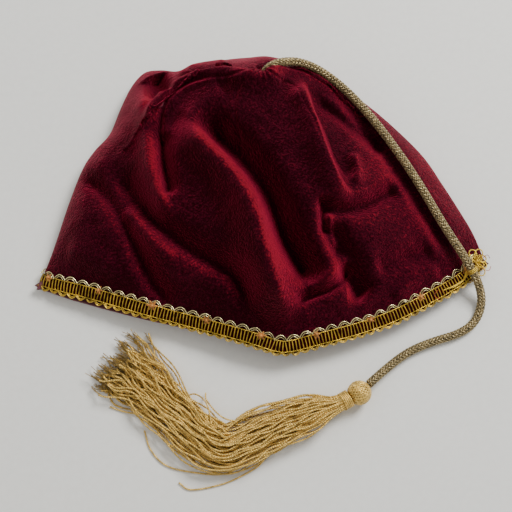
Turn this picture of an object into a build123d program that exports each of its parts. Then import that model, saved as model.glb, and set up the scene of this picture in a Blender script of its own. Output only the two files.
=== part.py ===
from build123d import *
import os
from math import cos, pi, radians, sin, tan

# A soft velvet cap of six gores, lined, with a metallic gimp braid sewn round
# its hem and a gold cord that runs from a knot under the crown, over the
# cap's right side, through a thread tack at the hem and on to a tassel.
# The cap lies collapsed on its back: the rear gores are flat on the surface,
# the front gores are heaped over them and the head opening faces -Y.
# Millimetres, +Z up.  The origin is on the surface, under the middle of the
# cap without its cord and tassel.

# ---- overall size of the collapsed cap ----
cap_half_width = 137.0      # to each end of the flattened hem
cap_half_length = 97.0      # hem point to middle, and middle to back fold
cap_height = 50.0           # surface to the top of the heap

# ---- cloth ----
velvet_thickness = 2.0      # pile, ground cloth and fused interlining
lining_thickness = 0.8
cloth_gap = 0.3             # between velvet and lining
fold_radius = 5.0           # outer radius where front folds over to rear
braid_width = 12.0
braid_thickness = 1.0
braid_end_size = 11.0       # the braid's end, folded back on itself
braid_end_thickness = 1.2
braid_end_place = (0.9489, -0.3866)   # its middle, as shares of the half width and half length

# ---- seams, as places on the cap ----
tip = (0.0, 70.0)           # crown tip, where all six gores meet
back_seam_half = 12.0       # half width of the rear centre gore at the back fold
hem_seam_half = 45.0        # half width of a centre gore at the hem
fold_level = 12.0           # height where the back fold turns under

# ---- cord and its fastenings ----
cord_diameter = 5.6
cord_clearance = 0.4        # round the cord, in its hole and under its tack
knot_diameter = 9.6
knot_length = 9.0
knot_rounding = 2.5
tack_corner = 9             # the route point that the tack holds
tack_width = 3.0
tack_thickness = 0.8
bend_share = 0.45           # part of the shorter run that an arc takes up

# ---- tassel ----
head_centre = (57.0, -119.5)
head_diameter = 15.0
head_wall = 1.2
core_clearance = 0.1
neck_angle = 208.0          # direction from the head to the skirt, from +X
neck_length = 4.6
neck_diameter = 11.0
stub_diameter = 8.6         # the bound strands inside the binding
binding_clearance = 0.1
skirt_height = 13.0
skirt_root_diameter = 10.0
skirt_gap = 0.4             # between the binding and the swaying skirt

far = 400.0                 # beyond every edge of the cap

# The cap's outline across at each station along Y: station, left edge and
# right edge as shares of the half length and half width, crest of the heap as
# a share of its height, and how far back of square an inner skin is drawn in.
stations = (
    (-1.15, -1.000, 1.000, 0.40, 0.0),
    (-0.57, -1.000, 1.000, 0.58, 0.0),
    (-0.42, -0.965, 0.998, 0.66, 0.0),
    (-0.20, -0.920, 0.945, 0.76, 0.0),
    (0.10, -0.850, 0.825, 0.90, 0.0),
    (0.40, -0.735, 0.690, 1.00, 0.0),
    (0.64, -0.665, 0.530, 0.96, 0.2),
    (0.80, -0.605, 0.370, 0.76, 0.5),
    (0.92, -0.520, 0.200, 0.50, 0.8),
    (1.00, -0.300, 0.080, 0.30, 1.0),
)
# The hem in plan, as shares: two slack sides that meet in a blunt point.
hem_shape = ((-1.30, -0.50), (-1.00, -0.565), (-0.49, -0.775), (0.06, -1.00),
             (0.60, -0.735), (1.00, -0.425), (1.30, -0.22))
crest_shift = 0.10          # crest right of the middle, as a share of width
shoulder = 0.66             # height at the quarter points, as a share of crest

# The cord's route from the knot to the tassel, chosen by hand.
cord_route = (
    (0.0, 70.0, 34.5),
    (0.0, 70.0, 45.5),
    (9.5, 75.0, 49.7),
    (25.0, 79.5, 45.0),
    (43.0, 72.5, 38.0),
    (62.0, 54.5, 34.5),
    (80.5, 28.0, 32.0),
    (96.5, 1.5, 28.5),
    (111.0, -23.5, 25.0),
    (124.5, -43.5, 20.0),
    (132.5, -55.5, 11.0),
    (133.4, -67.0, 4.8),
    (128.5, -77.5, 3.0),
    (118.0, -84.0, 3.0),
    (104.0, -87.7, 3.0),
    (88.0, -93.5, 4.0),
    (74.0, -103.8, 5.5),
    (62.9, -114.3, 6.9),
)

# The tassel skirt's two long edges in plan, root to fanned end.
skirt_near = ((24.0, -120.5), (2.0, -130.0), (-17.0, -139.0), (-33.0, -131.0),
              (-45.0, -112.0), (-57.0, -95.0), (-71.0, -87.0))
skirt_far = ((22.0, -143.0), (0.0, -158.0), (-23.0, -169.0), (-45.0, -160.0),
             (-63.0, -146.0), (-80.0, -131.0), (-91.0, -121.0))


def cap_section(place, inset):
    """One closed outline across the cap, drawn in by inset: flat under, arched over."""
    along, left_share, right_share, crest_share, draw_in = place
    y = along * cap_half_length - draw_in * inset
    left = left_share * cap_half_width + fold_radius
    right = right_share * cap_half_width - fold_radius
    width = right - left
    height = crest_share * cap_height
    middle = (left + right) / 2 + crest_shift * width
    base = max(inset, 0.0)
    fold_top = 2 * fold_radius - inset
    slope = height * shoulder / width
    quarter = height * shoulder - inset

    def at(x, z):
        return Vector(x, y, z)

    over = Spline(
        at(left, fold_top),
        at(left + width / 4 + slope * inset, quarter),
        at(middle, height - inset),
        at(right - width / 4 - slope * inset, quarter),
        at(right, fold_top),
    )
    left_fold = ThreePointArc(at(left, base), at(left - fold_radius + inset, fold_radius), over @ 0)
    right_fold = ThreePointArc(over @ 1, at(right + fold_radius - inset, fold_radius), at(right, base))
    return Wire([left_fold, over, right_fold, Line(at(right, base), at(left, base))])


def cap_body(inset):
    """The whole heap as one solid, inset from its outer skin."""
    return Solid.make_loft([cap_section(place, inset) for place in stations], ruled=True)


def hem_curve(shift):
    """The hem in plan, moved in from the edge by shift."""
    points = [Vector(x * cap_half_width, y * cap_half_length + shift, 0) for x, y in hem_shape]
    return Spline(*points)


def prism(outline, low, high):
    """An upright solid over a plan outline, from low to high."""
    return extrude(Plane.XY.offset(low) * make_face(outline), high - low)


def plan_prism(points, low=-far, high=far):
    """An upright solid over a polygon in plan."""
    return prism(Polyline(*points, close=True), low, high)


def side_prism(points):
    """A solid that keeps one outline in the YZ plane, right across the cap."""
    outline = make_face(Polyline(*[Vector(0, y, z) for y, z in points], close=True))
    return extrude(outline, far, dir=(1, 0, 0), both=True)


def mouth_cut(shift):
    """Everything in front of the hem, with the hem moved in by shift."""
    curve = hem_curve(shift)
    first, last = curve @ 0, curve @ 1
    rest = Polyline(last, (last.X, -far, 0), (first.X, -far, 0), first)
    return prism(Wire([curve, *rest.edges()]), -far, far)


def rear_and_front():
    """The two halves of the cap: the rear gores' side and the front gores' side."""
    corner_y = hem_shape[-2][1] * cap_half_length
    crown = crown_height + velvet_thickness
    edge = ((-far, fold_radius), (corner_y, fold_radius), (tip[1], crown), (tip[1], far))
    front = side_prism(edge + ((-far, far),))
    rear = side_prism(edge + ((far, far), (far, -far), (-far, -far)))
    return rear, front


def ray(start, through):
    """A point far beyond through, seen from start."""
    span = Vector(*through) - Vector(*start)
    end = Vector(*start) + span.normalized() * far
    return (end.X, end.Y)


def gore_zones():
    """Six zones that share out the cap, keyed by gore."""
    rear, front = rear_and_front()
    hem_y = hem_shape[3][1] * cap_half_length
    back_y = cap_half_length
    left_seam = ray(tip, (-hem_seam_half, hem_y))
    right_seam = ray(tip, (hem_seam_half, hem_y))
    centre = plan_prism((tip, left_seam, right_seam))
    left = plan_prism((tip, left_seam, (-far, -far), (-far, far), (tip[0], far)))
    right = plan_prism((tip, right_seam, (far, -far), (far, far), (tip[0], far)))
    under = [ray((sx * back_seam_half, back_y), (sx * hem_seam_half, hem_y)) for sx in (-1, 1)]
    over = [ray(tip, (sx * back_seam_half, back_y)) for sx in (-1, 1)]
    back = [(sx * back_seam_half, back_y) for sx in (-1, 1)]
    rear_centre = plan_prism((over[0], back[0], under[0], under[1], back[1], over[1]), -far, fold_level)
    rear_centre += plan_prism((tip, over[0], over[1]), fold_level, far)
    half_left = plan_prism(((tip[0], -far), (-far, -far), (-far, far), (tip[0], far)))
    return {
        "front_left": front & left,
        "front_centre": front & centre,
        "front_right": front & right,
        "rear_left": (rear & half_left) - rear_centre,
        "rear_centre": rear & rear_centre,
        "rear_right": rear - half_left - rear_centre,
    }


def smooth_path(points):
    """Straight runs joined by tangent arcs, each as large as its two runs allow."""
    corners = [Vector(*p) for p in points]
    radii = []
    for before, corner, after in zip(corners, corners[1:], corners[2:]):
        turn = (corner - before).get_angle(after - corner)
        shorter = min((corner - before).length, (after - corner).length)
        radii.append(bend_share * shorter / tan(radians(turn) / 2))
    return FilletPolyline(*corners, radius=radii), radii


def crown_top(body):
    """The highest point of a body over the crown tip."""
    probe = Edge.make_line(Vector(*tip, cap_height / 2), Vector(*tip, far))
    return (Part() + body & probe).bounding_box().max.Z


def direction(angle):
    """A level unit vector at an angle in degrees from +X."""
    return Vector(cos(radians(angle)), sin(radians(angle)), 0)


def rod(start, along, length, diameter):
    """A solid rod from start, along a direction."""
    return extrude(Plane(start, z_dir=along) * Circle(diameter / 2), length)


# ---- cap ----
outer = cap_body(0.0)
velvet_inside = cap_body(velvet_thickness)
lining_outside = cap_body(velvet_thickness + cloth_gap)
cavity = cap_body(velvet_thickness + cloth_gap + lining_thickness)
crown_height = crown_top(outer)
cord_hole = Pos(*tip, far / 2) * Cylinder(cord_diameter / 2 + cord_clearance, far - 2 * fold_radius)
hem_zone = mouth_cut(braid_width) - mouth_cut(0)
under_braid = plan_prism(((-far, -far), (far, -far), (far, far), (-far, far)), -far, braid_thickness)

velvet_shell = outer - velvet_inside - mouth_cut(0) - cord_hole - (hem_zone & under_braid)
lining_shell = lining_outside - cavity - mouth_cut(braid_width) - cord_hole
nodes = {}
for name, zone in gore_zones().items():
    nodes["velvet_gore_" + name] = velvet_shell & zone
    nodes["lining_gore_" + name] = lining_shell & zone
nodes["hem_facing"] = (lining_outside - cavity) & hem_zone
braided = cap_body(-braid_thickness)
nodes["hem_braid"] = (braided - (outer - under_braid) - velvet_inside) & hem_zone

# ---- cord and its fastenings ----
path, bend_radii = smooth_path(cord_route)
start = Vector(*cord_route[0])
nodes["cord"] = sweep(Plane(start, z_dir=path % 0) * Circle(cord_diameter / 2), path)
knot = Pos(*(start - Vector(0, 0, knot_length / 2))) * Cylinder(knot_diameter / 2, knot_length)
nodes["cord_anchor_knot"] = fillet(knot.edges(), knot_rounding)

held = path.edges()[2 * tack_corner - 1]
loop_bore = cord_diameter + 2 * cord_clearance
loop_start = (held @ 0.5) - (held % 0.5) * (tack_width / 2)
loop = rod(loop_start, held % 0.5, tack_width, loop_bore + 2 * tack_thickness)
post = Pos(*(held @ 0.5)) * Cylinder(tack_width / 2, far, align=(Align.CENTER, Align.CENTER, Align.MAX))
loop = loop + post - rod(loop_start - (held % 0.5) * far / 2, held % 0.5, far, loop_bore)
above_fold = plan_prism(((-far, -far), (far, -far), (far, far), (-far, far)), fold_radius, far)
nodes["hem_tack"] = (loop - braided) & above_fold
braid_end = cap_body(-braid_thickness - braid_end_thickness) - braided
braid_end_middle = Pos(braid_end_place[0] * cap_half_width, braid_end_place[1] * cap_half_length)
braid_end_pad = braid_end_middle * Cylinder(braid_end_size / 2, far)
nodes["braid_end"] = (braid_end & braid_end_pad & above_fold & hem_zone) - post

# ---- tassel ----
head_radius = head_diameter / 2
head = Vector(*head_centre, head_radius)
neck = direction(neck_angle)
across = direction(neck_angle - 90)
neck_end = head_radius + neck_length
ball = Pos(*head) * Sphere(head_radius)
hollow = Pos(*head) * Sphere(head_radius - head_wall)
stub = rod(head, neck, neck_end, stub_diameter)
nodes["tassel_head"] = ball + stub - hollow
nodes["tassel_core"] = Pos(*head) * Sphere(head_radius - head_wall - core_clearance)
binding_bore = stub_diameter + 2 * binding_clearance
binding = rod(head, neck, neck_end, neck_diameter) - rod(head, neck, neck_end, binding_bore)
nodes["tassel_neck_binding"] = binding - Pos(*head) * Sphere(head_radius + binding_clearance)

root_radius = skirt_root_diameter / 2
skirt_root = head + neck * (neck_end + skirt_gap + root_radius)
root_near = skirt_root + across * root_radius
root_far = skirt_root - across * root_radius
near_edge = Spline((root_near.X, root_near.Y), *skirt_near)
far_edge = Spline(*reversed(skirt_far), (root_far.X, root_far.Y))
root_end = skirt_root - neck * root_radius
root_arc = ThreePointArc(far_edge @ 1, (root_end.X, root_end.Y, 0), near_edge @ 0)
skirt_plan = make_face(Wire([near_edge, Line(near_edge @ 1, far_edge @ 0), far_edge, root_arc]))
nodes["tassel_skirt"] = extrude(skirt_plan, skirt_height)

os.makedirs("parts", exist_ok=True)
for name, solid in nodes.items():
    export_step(solid, f"parts/{name}.step")

section = pi * cord_diameter ** 2 / 4
print("bend radii, mm:", [round(r, 1) for r in bend_radii])
print("cord length, mm:", round(path.length, 1))
print("cord volume over section times length:", round(nodes["cord"].volume / section / path.length, 4))
print("crown height, mm:", round(crown_height, 1))
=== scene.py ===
import math

import bmesh
import bpy
import numpy as np
from bpy.props import FloatProperty, FloatVectorProperty, IntProperty, PointerProperty
from mathutils import Matrix, Vector


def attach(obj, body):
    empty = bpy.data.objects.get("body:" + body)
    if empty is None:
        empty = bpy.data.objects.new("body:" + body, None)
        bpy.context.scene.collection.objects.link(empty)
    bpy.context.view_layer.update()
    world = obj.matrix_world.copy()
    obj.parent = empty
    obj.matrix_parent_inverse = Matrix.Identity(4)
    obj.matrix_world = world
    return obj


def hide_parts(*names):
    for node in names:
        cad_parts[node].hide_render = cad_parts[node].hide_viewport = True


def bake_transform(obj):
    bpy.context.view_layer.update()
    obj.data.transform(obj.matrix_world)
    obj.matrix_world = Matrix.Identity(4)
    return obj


bl_info = {
    "name": "Tasselled Velvet Cap",
    "version": (1, 0, 0),
    "blender": (4, 5, 0),
    "location": "View3D > Sidebar > Velvet Cap",
    "description": "Builds a soft velvet cap with a gimp braid, a cord and a long tassel",
    "category": "Add Mesh",
}

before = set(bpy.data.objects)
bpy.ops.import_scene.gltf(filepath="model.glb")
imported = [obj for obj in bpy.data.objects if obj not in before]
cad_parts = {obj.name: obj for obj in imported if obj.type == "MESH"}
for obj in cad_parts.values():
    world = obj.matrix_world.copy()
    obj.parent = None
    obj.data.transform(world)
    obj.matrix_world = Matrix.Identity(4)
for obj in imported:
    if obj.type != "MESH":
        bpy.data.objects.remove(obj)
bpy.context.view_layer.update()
MM = 0.001
GORES = [f"{side}_{place}" for side in ("front", "rear") for place in ("left", "centre", "right")]


# ---------------------------------------------------------------- shape of the cap, in plan
# Places on the cap are in millimetres, as they lie: x along the hem, y to the crown.
CROWN_TIP = (0.0, 70.0)
GORE_EASE = 1.7          # how much closer a gore's rows lie near the side fold and the hem
FOLD_FADE = 0.16         # share of a fold's line over which it rises from nothing
LEVEL_SLACK = 60         # how loosely the skin follows the heights
BRAID_STOPS = 132.5      # the braid turns under beyond this distance from the middle
REAR_DRAW_IN = 2.6       # how much further the braid sits from the rear hem's edge
CORNER_REACH = 4.6       # how far the braid's turns reach past where it stops
CORD_STEP = 0.0007       # between points on the cord's line, in metres
SOFT_CORNER = 62         # sharper edges than this, in degrees, stay sharp

# The cord's route in metres, from inside the crown to inside the tassel's head.
CORD_ROUTE = [
    (0.0, 0.070, 0.0345), (0.0008, 0.0705, 0.0440), (0.0098, 0.0752, 0.0462),
    (0.0250, 0.0788, 0.0388), (0.0428, 0.0722, 0.0305), (0.0610, 0.0553, 0.0272),
    (0.0795, 0.0296, 0.0266), (0.0955, 0.0040, 0.0243), (0.1100, -0.0215, 0.0198),
    (0.1232, -0.0415, 0.0165), (0.1316, -0.0545, 0.0090), (0.1338, -0.0655, 0.0031),
    (0.1285, -0.0772, 0.0028), (0.1180, -0.0838, 0.0028), (0.1040, -0.0877, 0.0028),
    (0.0880, -0.0940, 0.0030), (0.0742, -0.1042, 0.0045), (0.0629, -0.1143, 0.0069),
]
# The tassel's skirt along its middle: x, y, height, half width, half thickness.
SKIRT = [
    (49.9, -123.3, 7.2, 4.2, 4.2), (41, -127.3, 7.0, 5.6, 5.2), (28, -131.5, 6.8, 10.0, 6.0),
    (5.5, -140, 6.6, 12.3, 6.0), (-12, -148.5, 6.4, 13.2, 5.9), (-24.5, -151.5, 6.2, 13.6, 5.7),
    (-38.5, -143.5, 6.0, 14.0, 5.5), (-53, -130.5, 5.5, 14.5, 5.0), (-65.5, -119, 5.0, 15.5, 4.5),
    (-77, -108.8, 4.3, 17.0, 3.7), (-89, -99.8, 3.4, 19.0, 2.8),
]
# Threads that have strayed from the skirt, as points on the surface.
STRAYS = [
    [(-8, -158, 4), (-22, -166, 1.5), (-42, -165, 0.9), (-57, -161, 0.8), (-66, -152, 0.8),
     (-70, -141, 0.8)],
    [(4, -153, 5), (-2, -161, 2), (-14, -168, 0.9), (-26, -172.5, 0.8), (-42, -175, 0.8),
     (-49, -171, 0.8)],
    [(-58, -112, 6), (-64, -101, 4), (-65.5, -92, 2.5), (-69, -83, 2.5)],
    [(-10, -134, 7), (-17, -136, 9), (-25, -133, 8), (-33, -124, 5), (-34, -119, 2)],
    [(-30, -138, 9), (-33, -126, 8), (-40, -120, 5), (-47, -122, 4)],
    [(-84, -118, 3), (-92, -116, 1), (-97, -109, 0.8)],
    [(-70, -132, 3), (-82, -130, 1), (-91, -127, 0.8)],
]

# Where the front folds over to the rear, from the hem's left corner round the
# back to its right corner.
SIDE_FOLD = [
    (-137, -55), (-132, -42), (-127, -26), (-120, -1), (-113, 20), (-106, 32), (-97, 43),
    (-91, 60), (-85.5, 74), (-80, 83), (-74, 87.5), (-64, 88), (-54, 86.5), (-46, 91),
    (-31, 94), (-12, 96.5), (2, 95), (13, 92), (26, 90), (41, 82), (55.5, 71.5),
    (73.5, 58), (92, 40), (103, 27), (112, 12), (124, -9), (131, -23), (137, -41),
]
FRONT_HEM = [
    (-137, -55), (-122, -59.5), (-107, -63.5), (-87, -69.5), (-67, -75.5), (-34, -84.5),
    (-10, -91.5), (8, -97), (18, -96.8), (33, -93), (57, -86.5), (82, -77.2), (107, -64),
    (126, -52), (137, -41),
]
REAR_HEM = [
    (-137, -55), (-122, -60.5), (-107, -65), (-87, -70.5), (-67, -75.5), (-34, -82.5),
    (-10, -87.5), (8, -91.5), (33, -85), (57, -78), (82, -69.5), (107, -57.5), (126, -47.5),
    (137, -41),
]
# Heights of the top skin where the folds do not reach.
HEIGHTS = [
    (-137, -55, 5), (-107, -64, 8), (-67, -76, 10), (-34, -85, 11), (8, -97, 12),
    (33, -93, 12), (57, -86, 11), (82, -77, 10), (107, -63, 9), (126, -51, 7), (137, -41, 5),
    (-100, -30, 23), (-60, -35, 30), (-20, -45, 34), (20, -45, 35), (60, -38, 30),
    (98, -28, 20), (-90, 15, 27), (-55, 20, 38), (-15, 25, 43), (20, 25, 44), (55, 15, 36),
    (88, 12, 23), (-75, 55, 27), (-50, 50, 38), (-25, 55, 42), (20, 55, 43), (42, 50, 36),
    (62, 45, 26), (0, 68, 43), (-30, 75, 34), (0, 84, 36), (22, 79, 36), (43, 73, 31), (-65, 75, 24),
    (-10, 92, 22), (-45, 85, 24),
]
# Folds: line, rise, reach to its left, reach to its right (looking along the line).
FOLDS = [
    # Main ridge.
    ([(-50, 44), (-40, 33), (-30, 23), (-18, 11), (-8, -4), (-3, -22), (1, -42), (8, -62), (15, -84)],
     14.0, 7.5, 14.0),
    # Valley beside it.
    ([(-44, 45), (-35, 37), (-25, 27), (-10, 10), (3, -10), (10, -26), (19, -42), (28, -54), (37, -61)],
     -20.0, 11.0, 6.5),
    # Right valley.
    ([(38, -20), (41, -30), (47, -42), (52, -53), (57, -62), (62, -68)],
     -11.0, 9.0, 5.0),
    # Under the hanging lobe.
    ([(52, -44), (47, -54), (40, -60), (30, -64), (18, -69)], -6.0, 3.0, 5.0),
    # The hanging lobe's edge.
    ([(50, -38), (44, -50), (36, -57), (24, -60)], 4.0, 3.5, 4.0),
    # Crease from the pucker.
    ([(31, -14), (45, -15), (60, -11), (84, 4)], -6.0, 4.5, 6.0),
    ([(34, -8), (35, -18), (36, -30)], -5.0, 3.5, 2.5),
    ([(40, -16), (39, -24), (43, -36)], 3.0, 2.0, 2.5),
    # Lobe's right edge.
    ([(22, 66), (26, 56), (29, 46), (34, 30), (40, 12), (46, -1), (54, -8)], 8.0, 2.0, 11.0),
    ([(27, 66), (32, 48), (39, 31), (45, 14), (54, 0)], -4.0, 13.0, 2.0),
    ([(30, 57), (38, 51), (47, 45), (60, 36), (74, 22)], -4.0, 4.0, 5.0),
    ([(54, 22), (57, 10), (56, 0)], 3.0, 3.0, 4.0),
    # Beside the cord.
    ([(34, 62), (46, 60), (58, 46), (70, 30), (79, 15), (99, -15), (116, -40)],
     -4.0, 6.0, 4.0),
    # Front gores' top edge.
    ([(-70, 32), (-68, 48), (-60, 60), (-50, 67), (-38, 71), (-22, 72), (-10, 68), (2, 69), (12, 72),
      (21, 69)],
     9.0, 2.4, 9.0),
    # Ditch inside that edge.
    ([(-62, 26), (-61, 46), (-54, 58), (-44, 65), (-30, 68)], -2.6, 2.0, 2.0),
    # Deep upright crease.
    ([(-61, 34), (-60, 18), (-57, 2), (-56, -8)], -8.0, 5.0, 3.2),
    ([(-74, 68), (-73, 52), (-71, 34), (-68, 14), (-64, 0), (-57, -14), (-50, -10)], 6.0, 5.0, 6.0),
    ([(-116, 14), (-104, 6), (-92, -6), (-82, -22), (-73, -42), (-62, -60), (-48, -70)], -6.0, 7.0, 4.5),
    ([(-92, 18), (-82, 2), (-70, -14), (-58, -26), (-42, -38), (-26, -47), (-14, -56), (-4, -76)],
     -8.0, 8.0, 6.0),
    ([(-84, -10), (-74, -24), (-62, -36), (-50, -44)], 3.0, 5.0, 5.0),
    # Pocket by the left lobe.
    ([(-69, 80), (-64, 70), (-62, 58)], -13.0, 6.0, 6.5),
    # Rear gores' step.
    ([(-52, 73), (-48, 80), (-39, 84), (-20, 86)], 4.0, 2.0, 9.0),
    ([(-48, 40), (-36, 52), (-24, 60)], 2.5, 8.0, 8.0),
    ([(66, -48), (82, -42), (104, -34)], -3.0, 6.0, 6.0),
    ([(78, -66), (92, -52), (108, -46)], 2.0, 5.0, 5.0),
    ([(-120, -34), (-100, -42), (-84, -56)], 2.0, 7.0, 7.0),
]
# Seams, from the crown tip outwards.  Two run down the front to the hem, two
# over the back, and one along each side to a corner of the hem.
SEAMS = {
    "left": [(-2.6, 70), (-16, 66.5), (-34, 66), (-50, 61), (-63, 50), (-80, 28), (-101, 0),
             (-123, -33), (-137, -55)],
    "front_left": [(-1.6, 67.9), (-9, 63), (-14.5, 58), (-16.5, 49), (-16, 38), (-13.5, 28),
                   (-14, 5), (-28, -40), (-44, -81.9)],
    "front_right": [(1.5, 67.9), (9, 64), (19, 60.5), (25, 47), (33, 30), (40, 10), (44, -5),
                    (49, -40), (50, -88.7)],
    "right": [(2.6, 70), (22, 73), (41, 65), (62, 47), (86, 20), (107, -5), (125, -28), (137, -41)],
    "rear_right": [(1.5, 72.2), (7, 82), (13, 92)],
    "rear_left": [(-1.5, 72.2), (-6.5, 84), (-12, 96.5)],
}
# Each gore lies between two seams; its far edge runs along a share of the side fold or hem.
GORE_SEAMS = {
    "front_left": ("left", "front_left"),
    "front_centre": ("front_left", "front_right"),
    "front_right": ("front_right", "right"),
    "rear_right": ("right", "rear_right"),
    "rear_centre": ("rear_right", "rear_left"),
    "rear_left": ("rear_left", "left"),
}
# Where each seam of the rear gores reaches the rear hem.
REAR_HEM_SEAMS = {
    "right": (137, -41), "rear_right": (46, -81.3), "rear_left": (-46, -80.1), "left": (-137, -55),
}


# ---------------------------------------------------------------- the cap's skin
def through(points, count=12):
    """A smooth line through given points."""
    p = np.array(points, float)
    ends = np.vstack([2 * p[0] - p[1], p, 2 * p[-1] - p[-2]])
    t = np.linspace(0, 1, count, endpoint=False)[:, None]
    out = []
    for a, b, c, d in zip(ends, ends[1:], ends[2:], ends[3:]):
        out.append(b + 0.5 * t * (c - a + t * (2 * a - 5 * b + 4 * c - d + t * (3 * (b - c) + d - a))))
    return np.vstack(out + [p[-1:]])


def smooth(t):
    t = np.clip(t, 0, 1)
    return t * t * (3 - 2 * t)


def near_line(x, y, line):
    """Signed distance to a line, plus on its left, and how far along it, 0 to 1."""
    best = np.full(x.shape, 1e9)
    signed = np.zeros(x.shape)
    along = np.zeros(x.shape)
    steps = np.linalg.norm(np.diff(line, axis=0), axis=1)
    reach = np.concatenate([[0], np.cumsum(steps)]) / steps.sum()
    for i, (a, b) in enumerate(zip(line, line[1:])):
        d = b - a
        t = np.clip(((x - a[0]) * d[0] + (y - a[1]) * d[1]) / (d @ d), 0, 1)
        ex, ey = x - a[0] - t * d[0], y - a[1] - t * d[1]
        far = ex * ex + ey * ey
        closer = far < best
        best = np.where(closer, far, best)
        signed = np.where(closer, np.sign(d[0] * ey - d[1] * ex) * np.sqrt(far), signed)
        along = np.where(closer, reach[i] + t * (reach[i + 1] - reach[i]), along)
    return signed, along


class TopSkin:
    """Height of the cap's upper skin over any place in plan."""

    def __init__(self, sizes):
        marks = np.array(HEIGHTS, float)
        n = len(marks)
        self.marks = marks
        gap = np.linalg.norm(marks[:, None, :2] - marks[None, :, :2], axis=2)
        system = np.zeros((n + 3, n + 3))
        system[:n, :n] = self.spread(gap) + np.eye(n) * LEVEL_SLACK
        system[:n, n:] = np.column_stack([np.ones(n), marks[:, :2]])
        system[n:, :n] = system[:n, n:].T
        self.weights = np.linalg.solve(system, np.concatenate([marks[:, 2], np.zeros(3)]))
        self.side = through(SIDE_FOLD, 6)
        self.folds = [(through(line, 4), rise, left, right) for line, rise, left, right in FOLDS]
        self.seams = [through(SEAMS[name], 6) for name in SEAMS]
        self.fold_level = sizes.fold_level / MM
        self.roll = sizes.fold_roll / MM
        self.rear_hem = through(REAR_HEM, 6)
        self.braid_reach = sizes.braid_width / MM
        self.braid_lift = sizes.braid_thickness / MM

    @staticmethod
    def spread(r):
        return np.where(r > 0, r * r * np.log(np.maximum(r, 1e-9)), 0)

    def height(self, x, y):
        shape = x.shape
        x, y = x.ravel(), y.ravel()
        n = len(self.marks)
        z = self.weights[n] + self.weights[n + 1] * x + self.weights[n + 2] * y
        for (mx, my, _), w in zip(self.marks, self.weights):
            z = z + w * self.spread(np.hypot(x - mx, y - my))
        for line, rise, left, right in self.folds:
            off, along = near_line(x, y, line)
            fade = smooth(along / FOLD_FADE) * smooth((1 - along) / FOLD_FADE)
            reach = np.where(off > 0, left, right)
            z = z + rise * fade * np.exp(-((off / reach) ** 2))
        for line in self.seams:
            off, along = near_line(x, y, line)
            near = smooth(along / 0.06) * (0.15 + 0.85 * smooth((0.45 - along) / 0.25))
            z = z + near * (0.5 * np.exp(-((off / 3.2) ** 2)) - 0.8 * np.exp(-((off / 1.2) ** 2)))
        tip = np.hypot(x - CROWN_TIP[0], y - CROWN_TIP[1])
        turn = np.arctan2(y - CROWN_TIP[1], x - CROWN_TIP[0])
        pleats = 0.35 * np.sin(turn * 13 + 1) * np.exp(-((tip - 4) / 5) ** 2)
        z = z + pleats - 3.5 * np.exp(-((tip / 4.5) ** 2))
        z = z + 0.5 * np.sin(x / 9 + 1.3 * np.sin(y / 13)) * np.sin(y / 11 + 0.9 * np.sin(x / 17))
        z = z + 0.28 * np.sin(x / 3.7 + 2.1 * np.sin(y / 6.1)) * np.sin(y / 4.3 + 1.7 * np.sin(x / 7.9))
        off, _ = near_line(x, y, self.side)
        inside = np.clip(np.abs(off) / self.roll, 0, 1)
        rounded = np.sqrt(np.maximum(1 - (1 - inside) ** 2, 0))
        z = self.fold_level + (z - self.fold_level) * rounded
        return np.maximum(z, 3.0).reshape(shape)

    def under(self, x, y):
        """Height of the rear gores' underside, which lies on the surface."""
        off, _ = near_line(x.ravel(), y.ravel(), self.side)
        inside = np.clip(np.abs(off) / self.fold_level, 0, 1)
        z = self.fold_level * (1 - np.sqrt(np.maximum(1 - (1 - inside) ** 2, 0)))
        hem, _ = near_line(x.ravel(), y.ravel(), self.rear_hem)
        lifted = smooth((self.braid_reach + 3 - np.abs(hem)) / 3) * self.braid_lift
        return np.maximum(z, lifted).reshape(x.shape)


def resample(line, count, share=lambda t: t):
    """A polyline walked in count steps of its length, eased by share."""
    steps = np.linalg.norm(np.diff(line, axis=0), axis=1)
    reach = np.concatenate([[0], np.cumsum(steps)]) / max(steps.sum(), 1e-9)
    t = share(np.linspace(0, 1, count))
    return np.column_stack([np.interp(t, reach, line[:, k]) for k in range(line.shape[1])])


def stretch_between(line, start, end):
    """The part of a line between its points nearest to start and end."""
    i, j = (int(np.argmin(np.hypot(*(line - np.array(p)).T))) for p in (start, end))
    part = line[i:j + 1] if i <= j else line[j:i + 1][::-1]
    return np.vstack([[start], part[1:-1], [end]]) if len(part) > 2 else np.array([start, end], float)


def patch(left, right, near, far):
    """A grid inside four edge curves: left and right run near to far."""
    v = np.linspace(0, 1, len(left))[:, None, None]
    a = np.linspace(0, 1, len(near))[None, :, None]
    sides = (1 - a) * left[:, None] + a * right[:, None]
    ends = (1 - v) * near[None] + v * far[None]
    corners = ((1 - a) * (1 - v) * left[0] + a * (1 - v) * right[0]
               + (1 - a) * v * left[-1] + a * v * right[-1])
    return sides + ends - corners


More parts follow.
